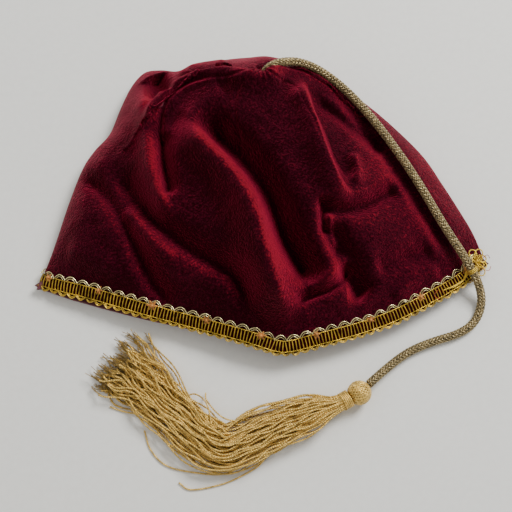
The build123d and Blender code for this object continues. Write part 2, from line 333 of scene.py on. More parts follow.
def gore_grid(skin, name, across, along):
    """A gore's outer skin in millimetres, as rows from the crown tip to the hem."""
    first, second = GORE_SEAMS[name]
    seams = [through(SEAMS[s], 10) for s in (first, second)]
    tip = [seam[0] for seam in seams]
    end = [seam[-1] for seam in seams]
    near = np.linspace(tip[0], tip[1], across)
    sides = [resample(seam, along, lambda t: 1 - (1 - t) ** GORE_EASE) for seam in seams]
    if name.startswith("front"):
        far = resample(stretch_between(through(FRONT_HEM, 10), *end), across)
        plan = patch(*sides, near, far)
        return np.dstack([plan, skin.height(plan[..., 0], plan[..., 1])])
    far = resample(stretch_between(through(SIDE_FOLD, 10), *end), across)
    top = patch(*sides, near, far)
    hem_ends = [REAR_HEM_SEAMS[s] for s in (first, second)]
    hem = resample(stretch_between(through(REAR_HEM, 10), *hem_ends), across)
    edges = [resample(np.array([far[k], hem_ends[k]], float), along // 2, lambda t: t ** GORE_EASE)
             for k in (0, -1)]
    under = patch(edges[0], edges[1], far, hem)
    over = np.dstack([top, skin.height(top[..., 0], top[..., 1])])
    below = np.dstack([under, skin.under(under[..., 0], under[..., 1])])
    return np.vstack([over, below[1:]])


def lining_grid(inside, rows):
    """A coarser, slacker grid that lies inside a gore: under its upper part and over
    the part that rests on the surface."""
    z = inside[..., 2].copy()
    turned = np.arange(len(z))[:, None] >= rows - 4
    for _ in range(4):
        pad = np.pad(z, 1, mode="edge")
        around = np.stack([pad[i:i + z.shape[0], j:j + z.shape[1]] for i in range(3) for j in range(3)])
        z = np.where(turned, np.maximum(around.max(axis=0), z), around.min(axis=0))
    z = np.where(turned, z + 0.3, z - 0.3)
    loose = np.dstack([inside[..., :2], np.maximum(z, 3.0)])
    keep = np.unique(np.concatenate([np.arange(0, len(z), 3), [len(z) - 1]]))
    over = np.unique(np.concatenate([np.arange(0, z.shape[1], 3), [z.shape[1] - 1]]))
    return loose[np.ix_(keep, over)]


def painted_light_and_shade(grid):
    """Painted light and shade over a grid, 0 to 1: painted highlight on ridges and on slopes that
    face the lamp on the right-hand side, painted shade in valleys and on slopes that face the left."""
    # Slopes that face the lamp are painted lighter, and hollows below the smoothed surface painted
    # darker.
    facing = grid_normals(grid) @ np.array([0.88, 0.47, 0.0])
    z = grid[..., 2]
    even = z.copy()
    for _ in range(60):
        pad = np.pad(even, 1, mode="edge")
        even = (pad[:-2, 1:-1] + pad[2:, 1:-1] + pad[1:-1, :-2] + pad[1:-1, 2:]
                + 2 * pad[1:-1, 1:-1]) / 6
    return np.clip(0.36 + 0.44 * facing + 0.11 * (z - even), 0, 1)


def grid_normals(grid):
    """Unit normals of a grid, outwards where its rows run from crown to hem."""
    down, over = np.gradient(grid, axis=0), np.gradient(grid, axis=1)
    n = np.cross(down, over)
    size = np.linalg.norm(n, axis=2, keepdims=True)
    n = n / np.maximum(size, 1e-12)
    for _ in range(3):
        n[1:-1, 1:-1] = (n[1:-1, 1:-1] * 2 + n[:-2, 1:-1] + n[2:, 1:-1] + n[1:-1, :-2] + n[1:-1, 2:]) / 6
    return n / np.maximum(np.linalg.norm(n, axis=2, keepdims=True), 1e-12)


# ---------------------------------------------------------------- meshes
def new_mesh_object(name, verts, faces, material, uv=None):
    """A piece made of points in metres and faces."""
    mesh = bpy.data.meshes.new(name)
    mesh.from_pydata([tuple(map(float, v)) for v in verts], [], [tuple(map(int, f)) for f in faces])
    if uv is not None:
        layer = mesh.uv_layers.new(name="UVMap")
        index = np.empty(len(mesh.loops), dtype=np.int32)
        mesh.loops.foreach_get("vertex_index", index)
        layer.data.foreach_set("uv", np.asarray(uv, float)[index].ravel())
    mesh.polygons.foreach_set("use_smooth", [True] * len(mesh.polygons))
    mesh.materials.append(material)
    mesh.validate()
    obj = bpy.data.objects.new(name, mesh)
    bpy.context.collection.objects.link(obj)
    return obj


def merge_points(obj, distance=1e-6):
    """Close seams and poles, and turn every face outwards."""
    bm = bmesh.new()
    bm.from_mesh(obj.data)
    bmesh.ops.remove_doubles(bm, verts=bm.verts, dist=distance)
    bmesh.ops.dissolve_degenerate(bm, edges=bm.edges, dist=distance)
    bmesh.ops.recalc_face_normals(bm, faces=bm.faces)
    bm.to_mesh(obj.data)
    bm.free()
    obj.data.polygons.foreach_set("use_smooth", [True] * len(obj.data.polygons))


def grid_faces(rows, columns, start=0, flip=False):
    r, c = np.meshgrid(np.arange(rows - 1), np.arange(columns - 1), indexing="ij")
    a = start + r.ravel() * columns + c.ravel()
    quads = np.column_stack([a, a + columns, a + columns + 1, a + 1])
    return quads[:, ::-1] if flip else quads


def shell(name, outer, inner, material, painted_light=None):
    """A closed sheet of cloth between two grids of the same size, in millimetres, with
    its painted light and shade."""
    rows, columns = outer.shape[:2]
    n = rows * columns
    top = grid_faces(rows, columns)
    bottom = grid_faces(rows, columns, n, flip=True)
    ring = np.concatenate([np.arange(columns), columns * np.arange(1, rows) + columns - 1,
                           n - 2 - np.arange(columns - 1), columns * np.arange(rows - 2, 0, -1)])
    after = np.roll(ring, -1)
    rim = np.column_stack([ring, after, after + n, ring + n])
    verts = np.vstack([outer.reshape(-1, 3), inner.reshape(-1, 3)]) * MM
    steps_down = np.linalg.norm(np.diff(outer, axis=0), axis=2).mean(axis=1)
    steps_over = np.linalg.norm(np.diff(outer, axis=1), axis=2).mean(axis=0)
    v = np.concatenate([[0], np.cumsum(steps_down)])
    u = np.concatenate([[0], np.cumsum(steps_over)])
    uu, vv = np.meshgrid(u, v)
    uv = np.column_stack([uu.ravel(), vv.ravel()]) * MM
    obj = new_mesh_object(name, verts, np.vstack([top, bottom, rim]), material, np.vstack([uv, uv]))
    if painted_light is not None:
        # The painted light and shade is stored as the mesh attribute named pile.
        values = np.tile(painted_light.ravel(), 2)
        obj.data.attributes.new("pile", "FLOAT", "POINT").data.foreach_set("value", values)
    merge_points(obj)
    obj.data.set_sharp_from_angle(angle=math.radians(SOFT_CORNER))
    return obj


# ---------------------------------------------------------------- lines and threads
def wire_path(points, closed=False):
    """A smooth line through given points in millimetres, as points in metres."""
    return through(points, 8) * MM


def hem_loop(skin, inward, lift):
    """A closed line round the hem, in from its edge and lifted off the cloth, in
    metres, with its outward directions."""
    runs = []
    for edge, sign in ((resample(through(FRONT_HEM, 10), 361), 1),
                       (resample(through(REAR_HEM, 10), 361)[::-1], -1)):
        run = np.gradient(edge, axis=0)
        run /= np.linalg.norm(run, axis=1, keepdims=True)
        kernel = np.hanning(25) / np.hanning(25).sum()
        padded = np.vstack([run[:1]] * 12 + [run] + [run[-1:]] * 12)
        even = np.column_stack([np.convolve(padded[:, k], kernel, "valid") for k in (0, 1)])
        even /= np.linalg.norm(even, axis=1, keepdims=True)
        keep = np.abs(edge[:, 0]) < BRAID_STOPS
        drawn_in = inward if sign > 0 else inward + REAR_DRAW_IN
        place = (edge + sign * drawn_in * np.column_stack([-even[:, 1], even[:, 0]]))[keep]
        x, y = place.T
        if sign > 0:
            z = skin.height(x, y)
            slope = [(skin.height(x + dx, y + dy) - skin.height(x - dx, y - dy)) / 2
                     for dx, dy in ((1, 0), (0, 1))]
            up = np.column_stack([-slope[0], -slope[1], np.ones(len(x))])
            up /= np.linalg.norm(up, axis=1, keepdims=True)
        else:
            z = skin.under(x, y)
            up = np.tile([0.0, 0.0, -1.0], (len(x), 1))
        runs.append((np.column_stack([x, y, z]) + up * lift, up, even[keep]))
    turns = []
    for (first, _, way), (second, _, _) in (runs, runs[::-1]):
        start, end = first[-1], second[0]
        out = np.array([*way[-1], 0.0])
        a = np.linspace(0, math.pi, 16)[1:-1, None]
        half = (start - end) / 2
        turns.append(((start + end) / 2 + half * np.cos(a) + out * (CORNER_REACH + lift) * np.sin(a),
                      half / np.linalg.norm(half) * np.cos(a) + out * np.sin(a)))
    points = np.vstack([runs[0][0], turns[0][0], runs[1][0], turns[1][0]])
    ups = np.vstack([runs[0][1], turns[0][1], runs[1][1], turns[1][1]])
    return points * MM, ups / np.linalg.norm(ups, axis=1, keepdims=True)


def carried_frames(points):
    """Two directions square to a line, carried along it without twisting."""
    run = np.gradient(points, axis=0)
    run /= np.linalg.norm(run, axis=1, keepdims=True)
    side = np.cross(run[0], (0.3, 0.2, 1.0))
    side /= np.linalg.norm(side)
    sides = []
    for t in run:
        side = side - t * (side @ t)
        side /= np.linalg.norm(side)
        sides.append(side)
    sides = np.array(sides)
    return sides, np.cross(run, sides)


# ---------------------------------------------------------------- geometry trees
def geometry_tree(name, **values):
    """A modifier tree whose named inputs have these values; returns it with its inputs."""
    tree = bpy.data.node_groups.new(name, "GeometryNodeTree")
    tree.interface.new_socket("Path", in_out="INPUT", socket_type="NodeSocketGeometry")
    for label, value in values.items():
        kind = "NodeSocketInt" if isinstance(value, int) else "NodeSocketFloat"
        tree.interface.new_socket(
            label.replace("_", " "), in_out="INPUT", socket_type=kind).default_value = value
    tree.interface.new_socket("Material", in_out="INPUT", socket_type="NodeSocketMaterial")
    tree.interface.new_socket("Mesh", in_out="OUTPUT", socket_type="NodeSocketGeometry")
    t = Tree(tree)
    return t, t.add("NodeGroupInput").outputs


def close_tree(t, inputs, geometry):
    """End a tree with real geometry and its material."""
    real = t.get("GeometryNodeRealizeInstances", {"Geometry": geometry})
    made = t.get("GeometryNodeSetMaterial", {"Geometry": real, "Material": inputs["Material"]})
    t.add("NodeGroupOutput", {"Mesh": made})
    return t.tree


def stepped_path(t, inputs, step):
    """The paths as curves, walked in steps of one input's length."""
    curve = t.get("GeometryNodeMeshToCurve", {"Mesh": inputs["Path"]})
    return t.get("GeometryNodeResampleCurve", {"Curve": curve, "Length": inputs[step]}, mode="LENGTH")


def circle(t, sides, radius):
    return t.get("GeometryNodeCurvePrimitiveCircle", {"Resolution": sides, "Radius": radius})


def sweep(t, curve, ring):
    return t.get("GeometryNodeCurveToMesh", {
        "Curve": curve, "Profile Curve": ring, "Fill Caps": True})


def rope_tree():
    """Twists a flattened thread along each path."""
    t, inputs = geometry_tree(
        "twisted_thread", Radius=0.0006, Flatness=0.6, Pitch=0.003, Step=0.0005, Sides=8)
    curve = stepped_path(t, inputs, "Step")
    length = t.add("GeometryNodeSplineParameter").outputs["Length"]
    tilt = t.math("MULTIPLY", t.math("DIVIDE", length, inputs["Pitch"]), 2 * math.pi)
    curve = t.get("GeometryNodeSetCurveTilt", {"Curve": curve, "Tilt": tilt})
    flat = place_at(t, 1.0, inputs["Flatness"], 1.0)
    ring = t.get("GeometryNodeTransform", {
        "Geometry": circle(t, inputs["Sides"], inputs["Radius"]), "Scale": flat})
    return close_tree(t, inputs, sweep(t, curve, ring))


def row_tree(name, element):
    """Sets one small element after another along each path."""
    t, inputs = geometry_tree(
        name, Spacing=0.002, Width=0.006, Height=0.002, Wire=0.0003, Jitter=0.1, Seed=3)
    curve = stepped_path(t, inputs, "Spacing")
    up = t.get("GeometryNodeInputNamedAttribute", {"Name": "up"}, data_type="FLOAT_VECTOR")
    along = t.get("GeometryNodeInputTangent")
    turn = t.get("FunctionNodeAxesToRotation", {"Primary Axis": up, "Secondary Axis": along},
                 primary_axis="Z", secondary_axis="X")
    wobble = t.get("FunctionNodeRandomValue", {
        "Min": (-1.0, -1.0, -1.0), "Max": (1.0, 1.0, 1.0), "Seed": inputs["Seed"]},
        data_type="FLOAT_VECTOR")
    wobble = t.get("ShaderNodeVectorMath", {0: wobble, "Scale": inputs["Jitter"]}, operation="SCALE")
    turn = t.get("FunctionNodeRotateRotation", {"Rotation": turn, "Rotate By": wobble},
                 rotation_space="LOCAL")
    stretch = t.get("ShaderNodeVectorMath", {0: wobble, 1: (1.0, 1.0, 1.0)}, operation="ADD")
    placed = t.get("GeometryNodeInstanceOnPoints", {
        "Points": curve, "Instance": element(t, inputs), "Rotation": turn, "Scale": stretch})
    return close_tree(t, inputs, placed)


def join(t, parts):
    node = t.add("GeometryNodeJoinGeometry")
    for part in reversed(parts):
        t.tree.links.new(part, node.inputs[0])
    return node.outputs[0]


def place_at(t, x=0.0, y=0.0, z=0.0):
    return t.get("ShaderNodeCombineXYZ", {0: x, 1: y, 2: z})


def wire(t, curve, radius, sides=5):
    return sweep(t, curve, circle(t, sides, radius))


def bow(t, start, middle, end, steps=6):
    return t.get("GeometryNodeCurveQuadraticBezier", {
        "Resolution": steps, "Start": start, "Middle": middle, "End": end})


def width_share(t, inputs, share):
    return t.math("MULTIPLY", inputs["Width"], share)


def ladder_bar(t, inputs):
    """A bar of wire lying across the row, arched a little."""
    half, back = (width_share(t, inputs, share) for share in (0.5, -0.5))
    arch = bow(t, place_at(t, y=back), place_at(t, z=inputs["Height"]), place_at(t, y=half))
    return wire(t, arch, inputs["Wire"])


def double_scallop(t, inputs):
    """Two arcs of wire, one inside the other, whose feet stand on the row."""
    half, back = (width_share(t, inputs, share) for share in (0.5, -0.5))
    tall = t.math("MULTIPLY", inputs["Height"], 2.0)
    arc = bow(t, place_at(t, x=back), place_at(t, y=tall, z=inputs["Wire"]), place_at(t, x=half), 12)
    large = wire(t, arc, inputs["Wire"])
    small = t.get("GeometryNodeTransform", {"Geometry": large, "Scale": (0.66, 0.6, 1.0)})
    return join(t, [large, small])


def looped_knot(t, inputs):
    """A flower of wire loops round a bead."""
    half = width_share(t, inputs, 0.5)
    star = t.get("GeometryNodeCurveStar", {
        "Points": 6, "Inner Radius": t.math("MULTIPLY", half, 0.35), "Outer Radius": half})
    star = t.get("GeometryNodeCurveSplineType", {"Curve": star}, spline_type="CATMULL_ROM")
    star = t.get("GeometryNodeResampleCurve", {"Curve": star, "Count": 48}, mode="COUNT")
    bead = t.get("GeometryNodeMeshUVSphere", {
        "Segments": 8, "Rings": 6, "Radius": t.math("MULTIPLY", half, 0.42)})
    bead = t.get("GeometryNodeTransform", {
        "Geometry": bead, "Translation": place_at(t, z=inputs["Height"])})
    return join(t, [wire(t, star, inputs["Wire"]), bead])


def knit_stitch(t, inputs):
    """A V of two slanting threads, as one stitch of knitting shows."""
    half = width_share(t, inputs, 0.5)
    tall = inputs["Height"]
    parts = []
    for side in (-1.0, 1.0):
        foot = place_at(t, x=t.math("MULTIPLY", half, 0.15 * side), y=t.math("MULTIPLY", tall, -0.55))
        knee = place_at(t, x=t.math("MULTIPLY", half, 0.9 * side), z=inputs["Wire"])
        head = place_at(t, x=t.math("MULTIPLY", half, side), y=t.math("MULTIPLY", tall, 0.6))
        parts.append(wire(t, bow(t, foot, knee, head, 5), inputs["Wire"], 6))
    return join(t, parts)


def grow(name, paths, tree, material, **values):
    """Run a tree over paths, each points in metres with upward directions or none
    and whether it is closed, and keep the plain mesh that it makes."""
    points, edges, ups = [], [], []
    for line, up, closed in paths:
        first, n = len(points), len(line)
        points.extend(map(tuple, line))
        ups.extend(map(tuple, np.tile((0.0, 0.0, 1.0), (n, 1)) if up is None else up))
        edges.extend((first + k, first + k + 1) for k in range(n - 1))
        if closed:
            edges.append((first + n - 1, first))
    mesh = bpy.data.meshes.new(name + "_paths")
    mesh.from_pydata(points, edges, [])
    attribute = mesh.attributes.new("up", "FLOAT_VECTOR", "POINT")
    attribute.data.foreach_set("vector", np.array(ups, float).ravel())
    obj = bpy.data.objects.new(name, mesh)
    bpy.context.collection.objects.link(obj)
    modifier = obj.modifiers.new("made", "NODES")
    modifier.node_group = tree
    for item in tree.interface.items_tree:
        if item.in_out == "INPUT" and item.name in values:
            modifier[item.identifier] = values[item.name]
        elif item.in_out == "INPUT" and item.name == "Material":
            modifier[item.identifier] = material
    made = bpy.data.meshes.new_from_object(obj.evaluated_get(bpy.context.evaluated_depsgraph_get()))
    obj.modifiers.remove(modifier)
    obj.data = made
    made.name = name
    for v in made.vertices:                 # wires that would pass through the surface lie on it
        v.co.z = max(v.co.z, 0.0001)
    made.polygons.foreach_set("use_smooth", [True] * len(made.polygons))
    if not made.materials:
        made.materials.append(material)
    return obj


def rope(name, lines, material, radius, flatness, pitch, step, sides):
    """One mesh of twisted threads along lines in metres."""
    return grow(name, [(line, None, False) for line in lines], rope_tree(), material, Radius=radius,
                Flatness=flatness, Pitch=pitch, Step=step, Sides=sides)


def tubes(name, lines, sides, width, thickness, material, closed=False):
    """One mesh of flattened tubes; each line comes with the directions that its thickness faces."""
    verts, faces = [], []
    a = np.linspace(0, 2 * math.pi, sides, endpoint=False)
    for line, out in lines:
        run = np.gradient(line, axis=0)
        run /= np.linalg.norm(run, axis=1, keepdims=True)
        side = np.cross(out, run)
        side /= np.linalg.norm(side, axis=1, keepdims=True)
        out = np.cross(run, side)
        ring = (line[:, None] + side[:, None] * (np.cos(a) * width / 2)[None, :, None]
                + out[:, None] * (np.sin(a) * thickness / 2)[None, :, None])
        first, n = len(verts), len(line)
        verts.extend(ring.reshape(-1, 3))
        for k in range(n - 1):
            for j in range(sides):
                p, q = first + k * sides + j, first + k * sides + (j + 1) % sides
                faces.append((p, q, q + sides, p + sides))
        faces.append(tuple(range(first + sides - 1, first - 1, -1)))
        faces.append(tuple(range(first + (n - 1) * sides, first + n * sides)))
    obj = new_mesh_object(name, verts, faces, material)
    merge_points(obj, 1e-8)
    return obj


# ---------------------------------------------------------------- materials
def new_material(name):
    mat = bpy.data.materials.new(name)
    mat.use_nodes = True
    mat.node_tree.nodes.clear()
    return mat, Tree(mat.node_tree)


class Tree:
    """Short hand for adding and joining nodes."""

    def __init__(self, tree):
        self.tree = tree

    def add(self, kind, inputs=None, **settings):
        node = self.tree.nodes.new(kind)
        for key, value in settings.items():
            setattr(node, key, value)
        for key, value in (inputs or {}).items():
            if isinstance(value, bpy.types.NodeSocket):
                self.tree.links.new(value, node.inputs[key])
            else:
                node.inputs[key].default_value = value
        return node

    def get(self, kind, inputs=None, **settings):
        """Add a node and return its first output."""
        return self.add(kind, inputs, **settings).outputs[0]

    def math(self, operation, *values):
        return self.get("ShaderNodeMath", dict(enumerate(values)), operation=operation)

    def noise(self, place, scale, detail, roughness=0.5):
        return self.get("ShaderNodeTexNoise", {
            "Vector": place, "Scale": scale, "Detail": detail, "Roughness": roughness})

    def ramp(self, value, *stops):
        node = self.add("ShaderNodeValToRGB", {"Fac": value})
        while len(node.color_ramp.elements) < len(stops):
            node.color_ramp.elements.new(0.5)
        for element, (place, colour) in zip(node.color_ramp.elements, stops):
            element.position = place
            element.color = (*colour, 1)
        return node.outputs["Color"]

    def mix(self, factor, first, second, blend="MIX"):
        node = self.add("ShaderNodeMix", data_type="RGBA", blend_type=blend)
        for key, value in ((0, factor), (6, first), (7, second)):
            if isinstance(value, bpy.types.NodeSocket):
                self.tree.links.new(value, node.inputs[key])
            elif key and len(value) == 3:
                node.inputs[key].default_value = (*value, 1)
            else:
                node.inputs[key].default_value = value
        return node.outputs[2]

    def principled(self, values, height=None, strength=0.0, distance=0.0):
        """End a material with a principled shader, with relief if a height is given."""
        if height is not None:
            values["Normal"] = self.get("ShaderNodeBump", {
                "Height": height, "Strength": strength, "Distance": distance})
        self.add("ShaderNodeOutputMaterial", {"Surface": self.get("ShaderNodeBsdfPrincipled", values)})


def object_place(t):
    return t.add("ShaderNodeTexCoord").outputs["Object"]


def velvet_material(colours):
    mat, t = new_material("burgundy_velvet")
    place = object_place(t)
    patches = t.noise(place, 32.0, 4.0, 0.6)
    nap = t.noise(place, 420.0, 4.0, 0.75)
    pile = t.noise(place, 850.0, 2.0, 0.7)
    # Painted light and shade read from the mesh, with random mottle added.
    painted_light_and_mottle = t.add("ShaderNodeAttribute", attribute_name="pile").outputs["Fac"]
    mottle = [t.math("MULTIPLY", t.math("SUBTRACT", noise, 0.5), strength)
              for noise, strength in ((patches, 0.55), (pile, 1.9), (nap, 0.7))]
    painted_light_and_mottle = t.math("ADD", painted_light_and_mottle, t.math("ADD", mottle[0], t.math("ADD", *mottle[1:])))
    # The ramp paints shade at its dark end and a highlight at its light end.
    foot, light = np.array(colours.velvet), np.array(colours.velvet_painted_highlight)
    colour = t.ramp(painted_light_and_mottle, (0.12, 0.16 * foot), (0.38, foot), (0.72, 0.78 * foot + 0.22 * light),
                    (1.0, light))
    height = t.math("ADD", t.math("MULTIPLY", pile, 0.6), t.math("MULTIPLY", nap, 0.9))
    t.principled({
        "Base Color": colour, "Roughness": 0.5, "Specular IOR Level": 0.12,
        "Specular Tint": (*colours.velvet_sheen, 1), "Sheen Weight": 1.0, "Sheen Roughness": 0.40,
        "Sheen Tint": (*colours.velvet_sheen, 1)}, height, 1.0, 0.0016)
    return mat


def plain_cloth(name, colour, scale):
    mat, t = new_material(name)
    weave = t.noise(object_place(t), scale, 2.0)
    tone = t.ramp(weave, (0.3, (0.7, 0.7, 0.7)), (0.7, (1.3, 1.3, 1.3)))
    t.principled({"Base Color": t.mix(1.0, tuple(colour), tone, "MULTIPLY"), "Roughness": 0.55,
                  "Sheen Weight": 0.3}, weave, 0.4, 0.0003)
    return mat


def thread_tone_group():
    """Tone and fine relief of metal or silk thread: random tone, painted glints and painted shade."""
    tree = bpy.data.node_groups.new("thread_tone", "ShaderNodeTree")
    for label, kind, value in (
            ("Light", "Color", (0.6, 0.4, 0.1, 1)), ("Dark", "Color", (0.1, 0.06, 0.01, 1)),
            ("Glint And Tone Scale", "Float", 240.0), ("Fibre Scale", "Float", 2600.0)):
        tree.interface.new_socket(
            label, in_out="INPUT", socket_type="NodeSocket" + kind).default_value = value
    tree.interface.new_socket("Color", in_out="OUTPUT", socket_type="NodeSocketColor")
    tree.interface.new_socket("Height", in_out="OUTPUT", socket_type="NodeSocketFloat")
    t = Tree(tree)
    inputs = t.add("NodeGroupInput").outputs
    place = object_place(t)
    glints_and_tone = t.noise(place, inputs["Glint And Tone Scale"], 3.0)
    fibre = t.noise(place, inputs["Fibre Scale"], 2.0)
    # Random lighter and darker patches: painted glints and painted shade between fibres, with random
    # tone.
    amount = t.ramp(glints_and_tone, (0.32, (0, 0, 0)), (0.62, (1, 1, 1)))
    tone = t.mix(amount, inputs["Dark"], inputs["Light"])
    fleck = t.ramp(fibre, (0.3, (0.7, 0.7, 0.7)), (0.7, (1.2, 1.2, 1.2)))
    t.add("NodeGroupOutput", {"Color": t.mix(1.0, tone, fleck, "MULTIPLY"), "Height": fibre})
    return tree


def thread_material(name, light, dark, roughness, metallic=0.0, sheen=0.0, glints_and_tone=240.0):
    """Thread with random tone, painted glints and painted shade; dark is a colour, or the light colour's
    share that stays in its painted shade.
    """
    if isinstance(dark, float):
        dark = tuple(dark * c for c in light)
    mat, t = new_material(name)
    group = bpy.data.node_groups.get("thread_tone") or thread_tone_group()
    tone = t.add("ShaderNodeGroup", node_tree=group)
    for label, value in (("Light", (*light, 1)), ("Dark", (*dark, 1)), ("Glint And Tone Scale", glints_and_tone)):
        tone.inputs[label].default_value = value
    t.principled({
        "Base Color": tone.outputs["Color"], "Roughness": roughness, "Metallic": metallic,
        "Sheen Weight": sheen, "Sheen Roughness": 0.4}, tone.outputs["Height"], 0.5, 0.0002)
    return mat


def floor_material(colour):
    mat, t = new_material("pale_board")
    tone = t.ramp(t.noise(object_place(t), 260.0, 3.0), (0.35, 0.97 * np.array(colour)), (0.65, colour))
    t.principled({"Base Color": tone, "Roughness": 0.9})
    return mat


# ---------------------------------------------------------------- properties
def metres(name, description, default, least):
    return FloatProperty(name=name, description=description, default=default, min=least, unit="LENGTH")


def number(name, description, default, least):
    return IntProperty(name=name, description=description, default=default, min=least)


def tint(name, description, default):
    return FloatVectorProperty(name=name, description=description, default=default,
                               subtype="COLOR", size=3, min=0, max=1)


class CapSizes(bpy.types.PropertyGroup):
    """Sizes of the cap's cloth and trimmings."""

    velvet_thickness: metres(
        "Velvet thickness", "Pile, ground cloth and interlining together", 0.0018, 0.0005)
    lining_thickness: metres("Lining thickness", "Thickness of the lining cloth", 0.0006, 0.0002)
    fold_level: metres("Fold level", "Height of the side fold above the surface", 0.005, 0.001)
    fold_roll: metres(
        "Fold roll", "How far in from the side fold the cloth rounds over", 0.016, 0.002)
    braid_width: metres(
        "Braid width", "Width of the hem braid between its scalloped edges", 0.012, 0.004)
    braid_thickness: metres(
        "Braid thickness", "Thickness of the hem braid under its wires", 0.0012, 0.0005)
    cord_diameter: metres("Cord diameter", "Outer diameter of the braided cord", 0.0056, 0.002)
    cord_lay: metres("Cord lay", "Length of cord in which one strand goes once round", 0.018, 0.004)
    bar_spacing: metres(
        "Bar spacing", "Distance between the bars of the braid's ladder", 0.0020, 0.0005)
    scallop_spacing: metres(
        "Scallop spacing", "Distance between the scallops along each edge of the braid", 0.0078, 0.002)
    knot_spacing: metres(
        "Knot spacing", "Distance between the looped knots along the braid", 0.036, 0.005)
    head_diameter: metres("Head diameter", "Diameter of the tassel's knitted head", 0.0146, 0.005)
    skirt_threads: number(
        "Skirt threads", "Number of twisted threads in the tassel's skirt", 130, 10)
    thread_diameter: metres(
        "Thread diameter", "Thickness of one twisted thread of the skirt", 0.0015, 0.0003)
    gore_columns: number("Gore columns", "Mesh columns across one gore", 90, 8)
    gore_rows: number("Gore rows", "Mesh rows from the crown to the hem", 170, 16)


class CapColours(bpy.types.PropertyGroup):
    """Colours of the cap and its trimmings."""

    # The velvet's mid tone; the velvet material darkens it to a painted shade in hollows and on slopes
    # away from the lamp.
    velvet: tint("Velvet", "Colour at the foot of the velvet's pile", (0.020, 0.0014, 0.0058))
    # The colour of the painted highlight on velvet ridges and on slopes that face the lamp.
    velvet_painted_highlight: tint(
        "Velvet light", "Colour of the velvet where its pile stands open", (0.21, 0.008, 0.018))
    velvet_sheen: tint(
        "Velvet sheen", "Colour of the light caught by the pile's tips", (0.64, 0.026, 0.082))
    lining: tint("Lining", "Colour of the lining", (0.09, 0.008, 0.018))
    cord: tint("Cord", "Antique gold of the braided cord", (0.50, 0.38, 0.18))
    tassel: tint("Tassel", "Gold silk of the tassel's threads", (0.95, 0.62, 0.14))
    braid_gold: tint("Braid gold", "Yellow metal thread of the hem braid", (0.85, 0.56, 0.07))
    braid_silver: tint(
        "Braid silver", "Pale metal wire of the braid's scallops", (0.98, 0.84, 0.42))
    braid_copper: tint("Braid copper", "Orange thread of the braid's knots", (0.70, 0.28, 0.05))
    facing: tint("Facing", "Colour of the ribbon inside the hem", (0.07, 0.006, 0.012))
    board: tint("Board", "Colour of the surface under the cap", (0.88, 0.875, 0.83))


# ---------------------------------------------------------------- operators
def cord_line():
    """Points along the cord's smooth line, read from a spline with the route's points."""
    curve = bpy.data.curves.new("cord_route", "CURVE")
    curve.dimensions = "3D"
    curve.resolution_u = 24
    spline = curve.splines.new("NURBS")
    spline.points.add(len(CORD_ROUTE) - 1)
    for point, place in zip(spline.points, CORD_ROUTE):
        point.co = (*place, 1)
    spline.order_u = 3
    spline.use_endpoint_u = True
    route = bpy.data.objects.new("cord_route", curve)
    bpy.context.collection.objects.link(route)
    line = bpy.data.meshes.new_from_object(route.evaluated_get(bpy.context.evaluated_depsgraph_get()))
    points = np.array([v.co[:] for v in line.vertices])
    bpy.data.objects.remove(route)
    length = np.linalg.norm(np.diff(points, axis=0), axis=1).sum()
    return resample(points, int(length / CORD_STEP) + 1)


def dress(piece, body, slot, *nodes):
    """Let a piece ride on a body, if one is named, and stand for CAD nodes; its slot is not used."""
    if body:
        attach(piece, body)
    if nodes:
        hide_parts(*nodes)


class CAP_OT_cord(bpy.types.Operator):
    """Braid the cord from the crown to the tassel's head"""

    bl_idname = "velvet_cap.cord"
    bl_label = "Cord"

    def execute(self, context):
        sizes, colours = context.scene.cap_sizes, context.scene.cap_colours
        even = cord_line()
        s = np.concatenate([[0], np.cumsum(np.linalg.norm(np.diff(even, axis=0), axis=1))])
        side, over = carried_frames(even)
        radius = sizes.cord_diameter / 2
        strand, rise, n = radius * 0.36, radius * 0.17, 8
        middle = radius - strand / 2 - rise
        turn = 2 * math.pi / sizes.cord_lay
        strands = []
        for way in (1, -1):
            for k in range(n):
                angle = 2 * math.pi * k / n + way * turn * s
                phase = n * turn * s / 2 - way * (math.pi / 4 - k * math.pi)
                out = side * np.cos(angle)[:, None] + over * np.sin(angle)[:, None]
                lift = middle + way * rise * np.cos(phase)
                strands.append((even + out * lift[:, None], out))
        # The dark share sets how dark the cord's random painted shade patches are, beside painted
        # glints.
        gold = thread_material("antique_gold_cord", colours.cord, 0.07, 0.3, metallic=0.45, glints_and_tone=900.0)
        cord = tubes("cord_braid", strands, 6, 2 * math.pi * middle / n * 0.70, strand, gold)
        dress(cord, "root", "cord_braid", "cord")
        return {"FINISHED"}


def stand(name, data, place, way):
    """Put a light or a camera at a place, looking one way."""
    obj = bpy.data.objects.new(name, data)
    obj.matrix_world = Matrix.Translation(place) @ way.to_track_quat("-Z", "Y").to_matrix().to_4x4()
    bpy.context.collection.objects.link(obj)
    return obj


